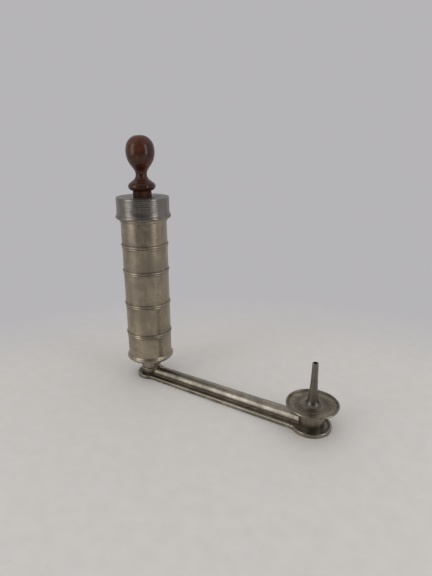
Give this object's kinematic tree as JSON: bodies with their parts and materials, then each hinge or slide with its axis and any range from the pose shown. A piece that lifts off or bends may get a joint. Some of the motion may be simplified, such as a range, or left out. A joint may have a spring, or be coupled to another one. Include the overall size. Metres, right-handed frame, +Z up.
{
  "type": "enema syringe",
  "caption": "Antique pewter enema syringe: ringed barrel with a screw cap and wooden plunger, standing on a hollow arm that ends in an upright nozzle with a round shield.",
  "frame": {"origin": "on the barrel's axis, in the plane of the arm's flat underside", "axes": "+Z up along the barrel, +X along the arm from the barrel to the nozzle"},
  "size_m": [0.3114, 0.0718, 0.3293],
  "materials": {
    "pewter": "worn grey pewter with turning lines and dark patina",
    "turned_wood": "dark red-brown polished hardwood",
    "piston_wood": "plain turned wood",
    "leather": "greased leather",
    "hemp": "tallowed hemp",
    "brass": "dull brass"
  },
  "bodies": {
    "arm": {"base_plate": "pewter", "arm_conduit": "pewter", "barrel_nipple": "pewter", "nozzle_boss": "pewter"},
    "outlet_seal": {"outlet_washer": "leather"},
    "barrel": {"barrel_tube": "pewter", "thread_collar": "pewter", "barrel_floor": "pewter", "outlet_neck": "pewter"},
    "cap_seal": {"cap_washer": "leather"},
    "screw_cap": {"cap": "pewter"},
    "plunger": {"knob": "turned_wood", "piston_rod": "turned_wood", "upper_piston_disc": "piston_wood", "upper_piston_cup": "leather", "piston_packing": "hemp", "lower_piston_cup": "leather", "lower_piston_disc": "piston_wood", "piston_screw": "brass"},
    "nozzle_seal": {"nozzle_washer": "leather"},
    "nozzle": {"nozzle_shield": "pewter", "nozzle_pipe": "pewter"}
  },
  "joints": [
    {"name": "outlet_seal_lift", "type": "slide", "parent": "arm", "child": "outlet_seal", "axis": [0, 0, 1], "range_m": [0, 0.006]},
    {"name": "barrel_unscrew", "type": "hinge", "parent": "outlet_seal", "child": "barrel", "pos_m": [0, 0, 0.02], "axis": [0, 0, 1], "range_deg": [0, 1080]},
    {"name": "cap_seal_lift", "type": "slide", "parent": "barrel", "child": "cap_seal", "axis": [0, 0, 1], "range_m": [0, 0.006]},
    {"name": "cap_unscrew", "type": "hinge", "parent": "cap_seal", "child": "screw_cap", "pos_m": [0, 0, 0.247], "axis": [0, 0, 1], "range_deg": [0, 1080]},
    {"name": "plunger_slide", "type": "slide", "parent": "barrel", "child": "plunger", "axis": [0, 0, 1], "range_m": [0, 0.165]},
    {"name": "nozzle_seal_lift", "type": "slide", "parent": "arm", "child": "nozzle_seal", "axis": [0, 0, 1], "range_m": [0, 0.006]},
    {"name": "nozzle_unscrew", "type": "hinge", "parent": "nozzle_seal", "child": "nozzle", "pos_m": [0.2443, 0, 0.02], "axis": [0, 0, 1], "range_deg": [0, 1080]}
  ],
  "couplings": [
    {"joint": "barrel_unscrew", "follows": "outlet_seal_lift", "rad_per_m": 3141.6},
    {"joint": "cap_unscrew", "follows": "cap_seal_lift", "rad_per_m": 3141.6},
    {"joint": "nozzle_unscrew", "follows": "nozzle_seal_lift", "rad_per_m": 3141.6}
  ]
}
